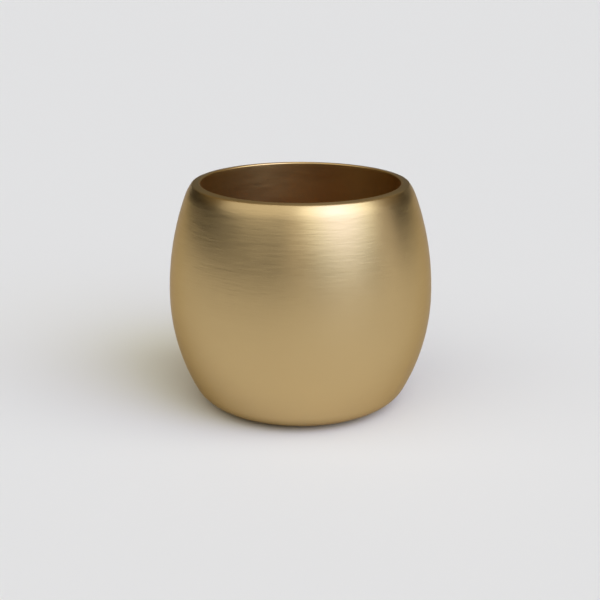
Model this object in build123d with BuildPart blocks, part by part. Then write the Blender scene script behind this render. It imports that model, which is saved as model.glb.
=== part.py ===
from build123d import *
import math
import os

os.makedirs("parts", exist_ok=True)

# Cachepot of spun brass with two skins. Millimetres, +Z up.
# The origin is on the floor, under the middle of the pot.

# Driving dimensions of the whole pot
pot_height = 120.0            # floor to the top of the lip
belly_diameter = 140.0        # widest place, outside
belly_height = 60.2           # floor to the widest place

# Outer shell
shell_sheet = 1.2             # sheet thickness
shoulder_radius = 24.0        # outside rounding of the shoulder
shoulder_tuck = 8.0           # how far that rounding's widest place stands in from the belly
shoulder_turn = 37.5          # lean of the shoulder where the lip's bend begins, in degrees
lip_bend_radius = 0.4         # inside radius of the bend between the shoulder and the lip
lip_face_width = 2.6          # from the bend to the seam with the cup
lip_slope = 8.0               # fall of the lip's face outward, in degrees
base_corner_radius = 17.0     # outside rounding at the bottom
foot_tuck = 10.3              # how far the bottom corner stands in from the belly
foot_ring_width = 5.0         # flat ring turned in at the bottom

# Inner cup
cup_sheet = 1.0               # sheet thickness
mouth_edge_share = 0.8        # rounding of the rim's inner edge, as a share of the cup's sheet
braze_gap = 0.05              # filled gap between the cup and the shell's lip
floor_gap = 2.9               # air between the cup's floor and the base plate

# Base plate
plate_sheet = 1.2             # sheet thickness
plate_edge_gap = 1.0          # from the plate's edge to the start of the shell's corner
dish_rise = 1.0               # height of the pressed dish in the middle
dish_slope_width = 3.0        # width of the slope round the dish
vent_diameter = 2.5           # lets air out while the seams are brazed

# Foot pads
pad_count = 4
pad_diameter = 12.0
pad_stand = 1.2               # how far the pads lift the shell off the floor
pad_edge_gap = 2.0            # from a pad to the shell's ring, and to the dish
pad_rounding_share = 0.15     # rounding of a pad's lower edge, as a share of its thickness

# Places that follow from the sizes above
belly_radius = belly_diameter / 2
shell_bottom = pad_stand
shell_floor = shell_bottom + shell_sheet
lip_corner_radius = shell_sheet + lip_bend_radius
lip_turn = 90.0 - lip_slope
lip_fall = math.tan(math.radians(lip_slope))
shoulder_centre_radius = belly_radius - shoulder_tuck - shoulder_radius
shoulder_reach = shoulder_radius - lip_corner_radius
lip_centre_radius = shoulder_centre_radius + shoulder_reach * math.cos(math.radians(shoulder_turn))
lip_edge_radius = lip_centre_radius + lip_corner_radius * math.cos(math.radians(lip_turn))
lip_edge_height = pot_height - lip_face_width * lip_fall
lip_centre_height = lip_edge_height - lip_corner_radius * math.sin(math.radians(lip_turn))
shoulder_centre_height = lip_centre_height - shoulder_reach * math.sin(math.radians(shoulder_turn))
corner_centre_radius = belly_radius - foot_tuck - base_corner_radius
corner_centre_height = shell_bottom + base_corner_radius
foot_hole_radius = corner_centre_radius - foot_ring_width
lip_hole_radius = lip_edge_radius - lip_face_width
cup_rim_radius = lip_hole_radius - braze_gap
plate_radius = corner_centre_radius - plate_edge_gap
pad_radius = pad_diameter / 2
pad_circle_radius = foot_hole_radius - pad_edge_gap - pad_radius
dish_foot_radius = pad_circle_radius - pad_radius - pad_edge_gap
dish_top_radius = dish_foot_radius - dish_slope_width


def sweep_radius(tuck, small_radius, rise):
    """Radius of the arc that leaves the belly upright and ends tangent to a smaller arc.

    The smaller arc's centre is tuck + small_radius inside the belly and rise above or below it.
    """
    inset = tuck + small_radius
    return (inset**2 + rise**2 - small_radius**2) / (2 * tuck)


upper_rise = shoulder_centre_height - belly_height
lower_rise = belly_height - corner_centre_height
upper_sweep = sweep_radius(shoulder_tuck, shoulder_radius, upper_rise)
lower_sweep = sweep_radius(foot_tuck, base_corner_radius, lower_rise)
shoulder_angle = math.degrees(math.asin(upper_rise / (upper_sweep - shoulder_radius)))
corner_angle = math.degrees(math.asin(lower_rise / (lower_sweep - base_corner_radius)))
quarter_turn = 90.0

print(f"upper wall arc {upper_sweep:.1f} mm, lower wall arc {lower_sweep:.1f} mm")


def lip_height_at(depth):
    """Height of the lip's face at the seam, at a depth below it."""
    return pot_height - depth / math.sin(math.radians(lip_turn))


def shell_face(depth):
    """Draw the shell's outline at a depth below its outside, all arcs tangent.

    From below: foot ring, base corner, two wall arcs that meet at the belly, shoulder, lip.
    """
    CenterArc(
        (corner_centre_radius, corner_centre_height),
        base_corner_radius - depth,
        -quarter_turn,
        quarter_turn - corner_angle,
    )
    CenterArc(
        (belly_radius - lower_sweep, belly_height), lower_sweep - depth, -corner_angle, corner_angle
    )
    CenterArc((belly_radius - upper_sweep, belly_height), upper_sweep - depth, 0, shoulder_angle)
    CenterArc(
        (shoulder_centre_radius, shoulder_centre_height),
        shoulder_radius - depth,
        shoulder_angle,
        shoulder_turn - shoulder_angle,
    )
    CenterArc(
        (lip_centre_radius, lip_centre_height),
        lip_corner_radius - depth,
        shoulder_turn,
        lip_turn - shoulder_turn,
    )
    bend = lip_corner_radius - depth
    lip_edge = (
        lip_centre_radius + bend * math.cos(math.radians(lip_turn)),
        lip_centre_height + bend * math.sin(math.radians(lip_turn)),
    )
    Line(lip_edge, (lip_hole_radius, lip_height_at(depth)))
    Line(
        (corner_centre_radius, shell_bottom + depth),
        (foot_hole_radius, shell_bottom + depth),
    )


# Outer shell: the barrel, with its lip and its flat foot ring turned in
with BuildPart() as outer_shell:
    with BuildSketch(Plane.XZ):
        with BuildLine():
            shell_face(0)
            shell_face(shell_sheet)
            Line((lip_hole_radius, pot_height), (lip_hole_radius, lip_height_at(shell_sheet)))
            Line((foot_hole_radius, shell_bottom), (foot_hole_radius, shell_floor))
        make_face()
    revolve(axis=Axis.Z)
outer_shell.part.label = "outer_shell"
export_step(outer_shell.part, "parts/outer_shell.step")


# Inner cup: its corner follows the shell's, and its wall runs straight up to the rim
plate_top = shell_floor + plate_sheet + dish_rise
cup_underside = plate_top + floor_gap
cup_corner_radius = corner_centre_height - cup_underside
rim_reach = cup_rim_radius - corner_centre_radius
rim_rise = pot_height - corner_centre_height
rim_distance = math.hypot(rim_reach, rim_rise)
wall_angle = math.atan2(rim_rise, rim_reach) - math.acos(cup_corner_radius / rim_distance)


def cup_face(depth):
    """Draw the cup's outline at a depth below its outside: floor, corner and tapered wall."""
    radius = cup_corner_radius - depth
    wall_foot = (
        corner_centre_radius + radius * math.cos(wall_angle),
        corner_centre_height + radius * math.sin(wall_angle),
    )
    rim = (rim_at(depth), pot_height)
    Line((0, cup_underside + depth), (corner_centre_radius, cup_underside + depth))
    CenterArc(
        (corner_centre_radius, corner_centre_height),
        radius,
        -quarter_turn,
        quarter_turn + math.degrees(wall_angle),
    )
    Line(wall_foot, rim)


def rim_at(depth):
    """Radius of the rim where the wall's face at that depth meets the top."""
    return cup_rim_radius - depth / math.cos(wall_angle)


with BuildPart() as inner_cup:
    with BuildSketch(Plane.XZ):
        with BuildLine():
            cup_face(0)
            cup_face(cup_sheet)
            Line((rim_at(0), pot_height), (rim_at(cup_sheet), pot_height))
            Line((0, cup_underside), (0, cup_underside + cup_sheet))
        make_face()
    revolve(axis=Axis.Z)
    mouth_edge = inner_cup.edges().group_by(Axis.Z)[-1].sort_by(SortBy.RADIUS)[0]
    fillet(mouth_edge, cup_sheet * mouth_edge_share)
inner_cup.part.label = "inner_cup"
export_step(inner_cup.part, "parts/inner_cup.step")


# Base plate: a pressed disc lapped on the inside of the foot ring
with BuildPart() as base_plate:
    with BuildSketch(Plane.XZ):
        with BuildLine():
            Polyline(
                (0, shell_floor + dish_rise),
                (dish_top_radius, shell_floor + dish_rise),
                (dish_foot_radius, shell_floor),
                (plate_radius, shell_floor),
                (plate_radius, shell_floor + plate_sheet),
                (dish_foot_radius, shell_floor + plate_sheet),
                (dish_top_radius, shell_floor + plate_sheet + dish_rise),
                (0, shell_floor + plate_sheet + dish_rise),
                close=True,
            )
        make_face()
    revolve(axis=Axis.Z)
    with Locations((0, 0, shell_floor)):
        Cylinder(
            vent_diameter / 2,
            plate_sheet + dish_rise,
            align=(Align.CENTER, Align.CENTER, Align.MIN),
            mode=Mode.SUBTRACT,
        )
base_plate.part.label = "base_plate"
export_step(base_plate.part, "parts/base_plate.step")


# Foot pads: round non-slip pads stuck to the plate, inside the foot ring
pad_thickness = pad_stand + shell_sheet
full_turn = 360.0
for number in range(pad_count):
    with BuildPart() as foot_pad:
        with BuildSketch(Plane.XY):
            with PolarLocations(pad_circle_radius, 1, (number + 0.5) * full_turn / pad_count):
                Circle(pad_radius)
        extrude(amount=pad_thickness)
        fillet(foot_pad.edges().group_by(Axis.Z)[0], pad_thickness * pad_rounding_share)
    name = f"foot_pad_{number + 1}"
    foot_pad.part.label = name
    export_step(foot_pad.part, f"parts/{name}.step")
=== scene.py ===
import math

import bmesh
import bpy
import numpy as np
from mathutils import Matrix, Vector


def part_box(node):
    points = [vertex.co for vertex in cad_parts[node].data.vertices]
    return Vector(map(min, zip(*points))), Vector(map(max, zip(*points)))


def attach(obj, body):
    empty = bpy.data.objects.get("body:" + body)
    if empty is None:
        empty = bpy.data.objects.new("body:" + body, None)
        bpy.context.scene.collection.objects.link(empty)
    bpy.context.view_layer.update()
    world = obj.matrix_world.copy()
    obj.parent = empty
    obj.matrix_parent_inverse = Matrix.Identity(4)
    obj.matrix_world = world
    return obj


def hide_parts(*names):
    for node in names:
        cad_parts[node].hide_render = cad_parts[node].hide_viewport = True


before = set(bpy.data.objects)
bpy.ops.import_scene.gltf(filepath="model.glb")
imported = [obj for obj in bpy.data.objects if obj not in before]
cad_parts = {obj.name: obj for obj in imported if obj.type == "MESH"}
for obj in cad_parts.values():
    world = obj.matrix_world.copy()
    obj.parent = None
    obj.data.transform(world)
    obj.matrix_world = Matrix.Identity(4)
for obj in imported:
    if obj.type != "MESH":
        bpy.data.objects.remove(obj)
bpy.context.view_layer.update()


# Outer shell
# The barrel that is seen: one sheet of brass spun over a former and brushed round its axis. Its
# top is turned in to a narrow, almost level lip, and its bottom to a flat ring.

mm = 0.001
shell_low, shell_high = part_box("outer_shell")
belly_radius = shell_high.x
shell_bottom = shell_low.z
pot_top = shell_high.z
shell_sheet = 1.2 * mm
belly_height = 60.2 * mm
shoulder_radius = 24.0 * mm
shoulder_tuck = 8.0 * mm
shoulder_turn = math.radians(37.5)
lip_bend_radius = 0.4 * mm
lip_corner_radius = shell_sheet + lip_bend_radius
lip_face_width = 2.6 * mm
lip_slope = math.radians(8.0)
base_corner_radius = 17.0 * mm
foot_tuck = 10.3 * mm
foot_ring_width = 5.0 * mm
quarter_turn = math.pi / 2
sharp_corner = math.radians(35)
same_point = 0.0001 * mm        # points closer than this are one

# Streaks that the brush leaves in the brass
hair_length = 11 * mm
hair_pitch = 1.2 * mm
mark_length = 60 * mm
mark_pitch = 3.0 * mm
cloud_size = 38 * mm
hair_tone_share = 0.35        # the rest of the tone comes from the cloud
hair_roughness_swing = 0.10
mark_roughness_swing = 0.06
mark_depth_share = 0.3
shell_groove = 0.055 * mm


def toward(angle):
    """The step of length one, as (radius, height), that leans up from level by an angle."""
    return np.array([math.cos(angle), math.sin(angle)])


lip_turn = quarter_turn - lip_slope
lip_corner_reach = lip_corner_radius * toward(lip_turn)
shoulder_reach = (shoulder_radius - lip_corner_radius) * toward(shoulder_turn)
lip_edge = np.array([
    belly_radius - shoulder_tuck - shoulder_radius + shoulder_reach[0] + lip_corner_reach[0],
    pot_top - lip_face_width * math.tan(lip_slope),
])
lip_centre = lip_edge - lip_corner_reach
shoulder_centre = lip_centre - shoulder_reach
corner_centre = np.array([
    belly_radius - foot_tuck - base_corner_radius,
    shell_bottom + base_corner_radius,
])
lip_hole_radius = lip_edge[0] - lip_face_width
foot_hole_radius = corner_centre[0] - foot_ring_width


def arc(centre, radius, start, end, steps):
    """Points on a circle: centre plus radius times (cos, sin) of evenly spaced angles."""
    angle = np.linspace(start, end, steps + 1)
    return np.asarray(centre) + radius * np.stack([np.cos(angle), np.sin(angle)], axis=1)


def line(start, end, steps):
    """Points on a straight line: start plus even shares of the way to end."""
    share = np.linspace(0, 1, steps + 1)[:, None]
    return np.asarray(start) * (1 - share) + np.asarray(end) * share


def outline(*stretches):
    """One outline of stretches that meet end to end, with each meeting point kept once."""
    return np.concatenate([stretches[0]] + [stretch[1:] for stretch in stretches[1:]])


def sweep_radius(tuck, small_radius, rise):
    """Radius of the arc that leaves the belly upright and ends tangent to a smaller arc."""
    inset = tuck + small_radius
    return (inset**2 + rise**2 - small_radius**2) / (2 * tuck)


def shell_face(depth, detail):
    """The shell's face at a depth below its outside, from foot ring to lip: five tangent arcs.

    The two wall arcs leave the belly upright, and their radii follow from how far the corner
    and the shoulder stand in from it.
    """
    upper_rise = shoulder_centre[1] - belly_height
    lower_rise = belly_height - corner_centre[1]
    upper = sweep_radius(shoulder_tuck, shoulder_radius, upper_rise)
    lower = sweep_radius(foot_tuck, base_corner_radius, lower_rise)
    shoulder_angle = math.asin(upper_rise / (upper - shoulder_radius))
    corner_angle = math.asin(lower_rise / (lower - base_corner_radius))
    bend = lip_corner_radius - depth
    bottom = shell_bottom + depth
    seam = (lip_hole_radius, pot_top - depth / math.cos(lip_slope))
    return outline(
        line((foot_hole_radius, bottom), (corner_centre[0], bottom), detail // 4),
        arc(corner_centre, base_corner_radius - depth, -quarter_turn, -corner_angle, detail),
        arc((belly_radius - lower, belly_height), lower - depth, -corner_angle, 0, 2 * detail),
        arc((belly_radius - upper, belly_height), upper - depth, 0, shoulder_angle, 2 * detail),
        arc(shoulder_centre, shoulder_radius - depth, shoulder_angle, shoulder_turn, detail),
        arc(lip_centre, bend, shoulder_turn, lip_turn, detail // 2),
        line(lip_centre + bend * toward(lip_turn), seam, detail // 4),
    )


def put(name, shown):
    """A new object in the scene for a mesh, a lamp or a camera."""
    made = bpy.data.objects.new(name, shown)
    bpy.context.scene.collection.objects.link(made)
    return made


def turned(name, loop, around=320, middle=(0.0, 0.0)):
    """A closed loop of (radius, height) points turned round an upright axis into a closed solid.

    Point (i, j) is loop point i at angle j: middle plus (r cos a, r sin a), at height z. The
    seam is at the back. UV map "skin" holds the way along the loop, in metres, in u and the
    turn, as a share, in v. Points that stand together on the axis become one pole.
    """
    count = len(loop)
    angle = np.linspace(0, 2 * math.pi, around, endpoint=False) + quarter_turn
    x = middle[0] + loop[:, 0, None] * np.cos(angle)
    y = middle[1] + loop[:, 0, None] * np.sin(angle)
    z = np.broadcast_to(loop[:, 1, None], x.shape)
    points = np.stack([x, y, z], axis=2).reshape(-1, 3)
    step = np.linalg.norm(np.diff(loop, axis=0, append=loop[:1]), axis=1)
    way = np.concatenate([[0.0], np.cumsum(step)])
    i, j = np.meshgrid(np.arange(count), np.arange(around), indexing="ij")
    far_i, far_j = (i + 1) % count, (j + 1) % around
    corners = [i * around + j, i * around + far_j, far_i * around + far_j, far_i * around + j]
    faces = np.stack(corners, axis=2).reshape(-1, 4)
    along = np.stack([way[i], way[i], way[i + 1], way[i + 1]], axis=2)
    turn = np.stack([j, j + 1, j + 1, j], axis=2) / around
    mesh = bpy.data.meshes.new(name)
    mesh.from_pydata(points.tolist(), [], faces.tolist())
    skin = mesh.uv_layers.new(name="skin")
    skin.data.foreach_set("uv", np.stack([along, turn], axis=3).astype(np.float32).ravel())
    work = bmesh.new()
    work.from_mesh(mesh)
    bmesh.ops.remove_doubles(work, verts=work.verts, dist=same_point)
    bmesh.ops.recalc_face_normals(work, faces=work.faces)
    work.to_mesh(mesh)
    work.free()
    mesh.shade_smooth()
    mesh.set_sharp_from_angle(angle=sharp_corner)
    return put(name, mesh)


def feed(tree, socket, value):
    """Link another node's output to a socket, or set the socket to a number or a colour."""
    if isinstance(value, bpy.types.NodeSocket):
        tree.links.new(value, socket)
    else:
        socket.default_value = value


def node(tree, kind, settings=None, **values):
    """A new node: settings are its properties, and values feed its sockets by name."""
    made = tree.nodes.new(kind)
    for key, value in (settings or {}).items():
        setattr(made, key, value)
    for key, value in values.items():
        feed(tree, made.inputs[key.replace("_", " ")], value)
    return made


def arithmetic(tree, operation, *values, kind="ShaderNodeMath"):
    """The output of a Math or Vector Math node on numbers, colours or links."""
    made = node(tree, kind, {"operation": operation})
    for socket, value in zip(made.inputs, values):
        feed(tree, socket, value)
    return made.outputs[0]


def blend(tree, share, first, second):
    """A colour on the way from first to second, as share goes from 0 to 1."""
    made = node(tree, "ShaderNodeMix", {"data_type": "RGBA"})
    colour_sockets = [socket for socket in made.inputs if socket.type == "RGBA"]
    for socket, value in zip([made.inputs[0]] + colour_sockets, (share, first, second)):
        feed(tree, socket, value)
    return next(socket for socket in made.outputs if socket.type == "RGBA")


def opaque(colour):
    """A colour with its fourth number, the opacity, at 1."""
    return (*colour, 1.0)


def grain(tree, length, pitch, detail, seed):
    """Streaks that run round the piece: noise drawn out to length, pitch apart along the loop."""
    place = node(tree, "ShaderNodeTexCoord").outputs["Object"]
    skin = node(tree, "ShaderNodeUVMap", {"uv_map": "skin"}).outputs["UV"]
    apart = node(tree, "ShaderNodeSeparateXYZ", Vector=place).outputs
    way = node(tree, "ShaderNodeSeparateXYZ", Vector=skin).outputs["X"]
    joined = node(
        tree,
        "ShaderNodeCombineXYZ",
        X=arithmetic(tree, "MULTIPLY_ADD", apart["X"], 1 / length, seed),
        Y=arithmetic(tree, "MULTIPLY_ADD", apart["Y"], 1 / length, seed),
        Z=arithmetic(tree, "MULTIPLY_ADD", way, 1 / pitch, seed),
    )
    noise = node(
        tree,
        "ShaderNodeTexNoise",
        {"noise_dimensions": "3D"},
        Vector=joined.outputs[0],
        Scale=1.0,
        Detail=detail,
        Roughness=0.6,
    )
    return noise.outputs["Fac"]


def brushed_brass(name, colour, deep_colour, edge_colour, roughness, across, groove):
    """Brass brushed round the axis: fine hairs, wider tool marks and a slow cloud of tone.

    edge_colour tints the brass where it is seen at a glance. across is how much further gloss
    spreads across the grooves than along them, and groove is how deep they are.
    """
    material = bpy.data.materials.new(name)
    material.use_nodes = True
    tree = material.node_tree
    brass = tree.nodes["Principled BSDF"].inputs
    brass["Metallic"].default_value = 1.0
    brass["Anisotropic"].default_value = across
    brass["Specular Tint"].default_value = opaque(edge_colour)
    hair = grain(tree, hair_length, hair_pitch, detail=1.5, seed=3.1)
    mark = grain(tree, mark_length, mark_pitch, detail=3.0, seed=8.7)
    place = node(tree, "ShaderNodeTexCoord").outputs["Object"]
    cloud = node(tree, "ShaderNodeTexNoise", Vector=place, Scale=1 / cloud_size, Detail=3.0)
    cloud_tone = arithmetic(tree, "MULTIPLY", cloud.outputs["Fac"], 1 - hair_tone_share)
    tone = arithmetic(tree, "MULTIPLY_ADD", hair, hair_tone_share, cloud_tone)
    feed(tree, brass["Base Color"], blend(tree, tone, opaque(deep_colour), opaque(colour)))
    smoothest = roughness - (hair_roughness_swing + mark_roughness_swing) / 2
    rough = arithmetic(tree, "MULTIPLY_ADD", hair, hair_roughness_swing, smoothest)
    rough = arithmetic(tree, "MULTIPLY_ADD", mark, mark_roughness_swing, rough)
    feed(tree, brass["Roughness"], rough)
    height = arithmetic(tree, "MULTIPLY_ADD", mark, mark_depth_share, hair)
    bump = node(tree, "ShaderNodeBump", Height=height, Strength=1.0, Distance=groove)
    feed(tree, brass["Normal"], bump.outputs["Normal"])
    way_round = node(tree, "ShaderNodeTangent", {"direction_type": "UV_MAP", "uv_map": "skin"})
    feed(tree, brass["Tangent"], way_round.outputs["Tangent"])
    return material


outer_shell = turned(
    "outer_shell_skin",
    np.concatenate([
        shell_face(depth=0, detail=24),
        shell_face(depth=shell_sheet, detail=12)[::-1],
    ]),
)
outer_shell.data.materials.append(
    brushed_brass(
        "shell_brass",
        colour=(0.62, 0.45, 0.215),
        deep_colour=(0.58, 0.415, 0.195),
        edge_colour=(0.68, 0.59, 0.46),
        roughness=0.345,
        across=0.5,
        groove=shell_groove,
    )
)
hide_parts("outer_shell")
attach(outer_shell, "root")


# Base plate
# A disc pressed from brass sheet with a shallow dish in its middle, lapped on the inside of
# the foot ring and brazed. Its small hole let the air out while the seams were brazed.

plate_low, plate_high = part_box("base_plate")
plate_radius = plate_high.x
plate_sheet = 1.2 * mm
dish_rise = plate_high.z - plate_low.z - plate_sheet
dish_foot_radius = 21.7 * mm
dish_slope_width = 3.0 * mm
vent_radius = 1.25 * mm
plate_groove = 0.004 * mm


def plate_face(height, detail):
    """The plate's face at a height: level, an S-shaped slope of cosine form, level to the edge."""
    share = np.linspace(0, 1, detail + 1)
    slope = np.stack(
        [
            dish_foot_radius - dish_slope_width * (1 - share),
            height + dish_rise * (1 + np.cos(math.pi * share)) / 2,
        ],
        axis=1,
    )
    return outline(
        line((vent_radius, slope[0, 1]), slope[0], detail // 2),
        slope,
        line(slope[-1], (plate_radius, height), detail // 2),
    )


base_plate = turned(
    "base_plate_disc",
    np.concatenate([
        plate_face(plate_low.z, detail=16),
        plate_face(plate_low.z + plate_sheet, detail=16)[::-1],
    ]),
    around=192,
)
base_plate.data.materials.append(
    brushed_brass(
        "plate_brass",
        colour=(0.60, 0.43, 0.21),
        deep_colour=(0.50, 0.34, 0.15),
        edge_colour=(0.72, 0.62, 0.48),
        roughness=0.42,
        across=0.4,
        groove=plate_groove,
    )
)
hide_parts("base_plate")
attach(base_plate, "root")


# Inner cup
# The inner skin that holds the plant's own pot: spun from thinner sheet, with a straight
# tapered wall and a rounded corner. Its plain rim is brazed into the lip and dressed flush.

cup_low, cup_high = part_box("inner_cup")
cup_sheet = 1.0 * mm
braze_gap = 0.05 * mm
rim_edge_share = 0.8
cup_corner_radius = corner_centre[1] - cup_low.z
cup_groove = 0.01 * mm


def cup_loop(detail):
    """The cup's closed section: underside, corner and wall up, rounded rim, and back inside.

    The corner is concentric with the shell's, and the wall is the tangent from it to the rim.
    """
    rim = np.array([lip_hole_radius - braze_gap, cup_high.z])
    reach = rim - corner_centre
    wall_angle = math.atan2(reach[1], reach[0]) - math.acos(
        cup_corner_radius / np.linalg.norm(reach)
    )
    outward = toward(wall_angle)
    edge = cup_sheet * rim_edge_share
    inner_rim = rim - (cup_sheet / outward[0], 0)
    inner_radius = cup_corner_radius - cup_sheet
    floor_top = cup_low.z + cup_sheet
    return outline(
        line((0, cup_low.z), (corner_centre[0], cup_low.z), detail),
        arc(corner_centre, cup_corner_radius, -quarter_turn, wall_angle, detail // 2),
        line(corner_centre + cup_corner_radius * outward, rim, detail),
        line(rim, inner_rim + (edge, 0), 2),
        arc(inner_rim + (edge, -edge), edge, quarter_turn, 2 * quarter_turn, 8),
        line(inner_rim - (0, edge), corner_centre + inner_radius * outward, 2 * detail),
        arc(corner_centre, inner_radius, wall_angle, -quarter_turn, detail),
        line((corner_centre[0], floor_top), (0, floor_top), detail),
    )


inner_cup = turned("inner_cup_skin", cup_loop(detail=24))
inner_cup.data.materials.append(
    brushed_brass(
        "cup_brass",
        colour=(0.69, 0.465, 0.195),
        deep_colour=(0.65, 0.435, 0.175),
        edge_colour=(0.72, 0.62, 0.48),
        roughness=0.32,
        across=0.1,
        groove=cup_groove,
    )
)
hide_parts("inner_cup")
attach(inner_cup, "root")


# Foot pads
# Round non-slip pads of black rubber, stuck to the plate inside the foot ring. They lift the
# brass just clear of the table.

pad_rounding_share = 0.15
pad_names = sorted(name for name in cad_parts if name.startswith("foot_pad"))
clean_rubber = (0.008, 0.008, 0.008)
dusty_rubber = (0.035, 0.034, 0.032)
clean_roughness = 0.6
dust_roughness_swing = 0.2
dust_size = 4 * mm
moulding_size = 0.4 * mm
moulding_depth = 0.03 * mm


def rubber(name):
    """Matt black rubber with a fine moulded grain and a little grey dust."""
    material = bpy.data.materials.new(name)
    material.use_nodes = True
    tree = material.node_tree
    shader = tree.nodes["Principled BSDF"].inputs
    place = node(tree, "ShaderNodeTexCoord").outputs["Object"]
    fine = node(tree, "ShaderNodeTexNoise", Vector=place, Scale=1 / moulding_size, Detail=2.0)
    patches = node(tree, "ShaderNodeTexNoise", Vector=place, Scale=1 / dust_size, Detail=4.0)
    dust = patches.outputs["Fac"]
    feed(tree, shader["Base Color"], blend(tree, dust, opaque(clean_rubber), opaque(dusty_rubber)))
    dull = arithmetic(tree, "MULTIPLY_ADD", dust, dust_roughness_swing, clean_roughness)
    feed(tree, shader["Roughness"], dull)
    bump = node(
        tree,
        "ShaderNodeBump",
        Height=fine.outputs["Fac"],
        Strength=0.6,
        Distance=moulding_depth,
    )
    feed(tree, shader["Normal"], bump.outputs["Normal"])
    return material


def pad_loop(radius, low, high):
    """Half of a pad's section: underside, rounded lower edge, side, sharp cut upper face."""
    edge = (high - low) * pad_rounding_share
    return outline(
        line((0, low), (radius - edge, low), 10),
        arc((radius - edge, low + edge), edge, -quarter_turn, 0, 6),
        line((radius, low + edge), (radius, high), 4),
        line((radius, high), (0, high), 10),
    )


pad_rubber = rubber("pad_rubber")
for pad_name in pad_names:
    pad_low, pad_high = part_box(pad_name)
    middle = (pad_low + pad_high) / 2
    pad = turned(
        f"{pad_name}_rubber",
        pad_loop((pad_high.x - pad_low.x) / 2, pad_low.z, pad_high.z),
        around=72,
        middle=(middle.x, middle.y),
    )
    pad.data.materials.append(pad_rubber)
    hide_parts(pad_name)
    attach(pad, "root")


# Studio floor
# A wide plain pale floor, the same all over, which takes the pot's shadow.

floor_reach = 40.0
floor_colour = (0.875, 0.846, 0.726)
floor_mesh = bpy.data.meshes.new("studio_floor")
floor_mesh.from_pydata(
    [
        (-floor_reach, -floor_reach, 0),
        (floor_reach, -floor_reach, 0),
        (floor_reach, floor_reach, 0),
        (-floor_reach, floor_reach, 0),
    ],
    [],
    [(0, 1, 2, 3)],
)
floor = put("studio_floor", floor_mesh)
floor_paint = bpy.data.materials.new("studio_floor")
floor_paint.use_nodes = True
floor_shader = floor_paint.node_tree.nodes["Principled BSDF"].inputs
floor_shader["Base Color"].default_value = opaque(floor_colour)
floor_shader["Roughness"].default_value = 1.0
floor_shader["Specular IOR Level"].default_value = 0.0
floor_mesh.materials.append(floor_paint)


# Studio light
# A cool round lamp at the front right with a brighter middle, weak low glows, and a softbox
# overhead that ends just behind the pot, where a warm spill goes on. A pale backdrop stands
# far off: the camera sees it to any height, and the brass sees its foot below a dark room.

def direction_at(azimuth, elevation):
    """The step of length one out from the pot: azimuth 0 is the camera's side, 90 the right."""
    turn, rise = math.radians(azimuth), math.radians(elevation)
    return Vector((
        math.sin(turn) * math.cos(rise),
        -math.cos(turn) * math.cos(rise),
        math.sin(rise),
    ))


def face_back(holder, backward):
    """Turn a lamp or a camera so that what it points away from lies along backward."""
    holder.rotation_mode = "QUATERNION"
    holder.rotation_quaternion = backward.to_track_quat("Z", "Y")


def round_lamp(name, azimuth, elevation, spread, brightness):
    """A lamp far off that looks like an even disc, spread degrees wide.

    Its strength is the disc's brightness times pi times the squared sine of half its spread.
    """
    lamp = bpy.data.lights.new(name, "SUN")
    lamp.angle = math.radians(spread)
    lamp.energy = math.pi * math.sin(lamp.angle / 2) ** 2
    lamp.color = brightness
    face_back(put(name, lamp), direction_at(azimuth, elevation))


round_lamp("key_lamp", azimuth=44, elevation=40, spread=67, brightness=(1.23, 1.47, 1.77))
round_lamp("key_middle", azimuth=45, elevation=37, spread=40, brightness=(0.32, 0.36, 1.36))
round_lamp("key_top", azimuth=43, elevation=52, spread=28, brightness=(0.0, 0.0, 1.25))
round_lamp("right_glow", azimuth=85, elevation=15, spread=32, brightness=(0.45, 0.43, 0.44))
round_lamp("front_glow", azimuth=0, elevation=20, spread=28, brightness=(0.32, 0.28, 0.24))
round_lamp("back_glow", azimuth=174, elevation=9, spread=70, brightness=(0.18, 0.19, 0.21))

softbox_brightness = (1.04, 1.04, 1.04)
spill_brightness = (0.23, 0.17, 0.08)
backdrop_colour = (0.77, 0.77, 0.77)
room = bpy.data.worlds.new("studio_room")
room.use_nodes = True
room_tree = room.node_tree
way_out = node(room_tree, "ShaderNodeTexCoord").outputs["Generated"]
way_part = node(room_tree, "ShaderNodeSeparateXYZ", Vector=way_out).outputs
forward = arithmetic(room_tree, "MULTIPLY", way_part["Y"], -1.0)
lean_right = arithmetic(room_tree, "ARCTAN2", way_part["X"], way_part["Z"])
lean_front = arithmetic(room_tree, "ARCTAN2", forward, way_part["Z"])


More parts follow.
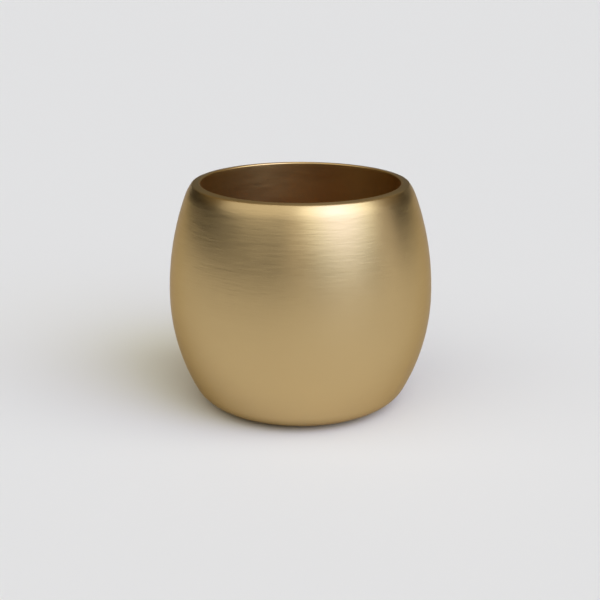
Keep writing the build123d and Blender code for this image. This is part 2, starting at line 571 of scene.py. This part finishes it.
def past(lean, edge, fade):
    """0 before an edge and 1 past it, where lean is an angle and edge is in degrees.

    fade is the width of the change, in degrees, and a negative fade swaps the two sides.
    """
    return node(
        room_tree,
        "ShaderNodeMapRange",
        {"interpolation_type": "SMOOTHSTEP"},
        Value=lean,
        From_Min=math.radians(edge - fade / 2),
        From_Max=math.radians(edge + fade / 2),
    ).outputs["Result"]


def patch(*shades):
    """A patch of light overhead: the product of the shades that its four edges throw."""
    level = 1.0
    for shade in shades:
        level = arithmetic(room_tree, "MULTIPLY", shade, level)
    return level


softbox = patch(
    past(lean_right, edge=-63, fade=12),
    past(lean_right, edge=62, fade=-24),
    past(lean_front, edge=-10, fade=3),
    past(lean_front, edge=61, fade=-36),
)
spill = patch(
    past(lean_right, edge=-62, fade=14),
    past(lean_right, edge=66, fade=-14),
    past(lean_front, edge=-58, fade=14),
    past(lean_front, edge=-10, fade=-3),
)
glow = (0.0, 0.0, 0.0)
for level, brightness in ((softbox, softbox_brightness), (spill, spill_brightness)):
    glow = arithmetic(
        room_tree, "MULTIPLY_ADD", level, brightness, glow, kind="ShaderNodeVectorMath"
    )
rise = arithmetic(room_tree, "ARCSINE", way_part["Z"])
backdrop_foot = past(rise, edge=1.0, fade=-0.4)
ray = node(room_tree, "ShaderNodeLightPath").outputs
bounced = arithmetic(room_tree, "ADD", ray["Is Glossy Ray"], ray["Is Transmission Ray"])
mirrored = arithmetic(room_tree, "MULTIPLY", bounced, backdrop_foot)
backdrop = arithmetic(room_tree, "MAXIMUM", ray["Is Camera Ray"], mirrored)
room_colour = blend(room_tree, backdrop, glow, opaque(backdrop_colour))
feed(room_tree, room_tree.nodes["Background"].inputs["Color"], room_colour)
bpy.context.scene.world = room


# Camera
# Straight in front of the pot, about 18 degrees above the level.

aim = Vector((-0.27 * mm, 0, 54.62 * mm))
camera_distance = 594.7 * mm
camera_elevation = 17.645
view_reach = 100.0
camera = put("camera", bpy.data.cameras.new("camera"))
camera.data.lens = 65.99
camera.data.sensor_width = 36.0
camera.data.clip_end = view_reach
backward = direction_at(azimuth=0, elevation=camera_elevation)
camera.location = aim + backward * camera_distance
face_back(camera, backward)
bpy.context.scene.camera = camera
bpy.context.scene.view_settings.view_transform = "Standard"
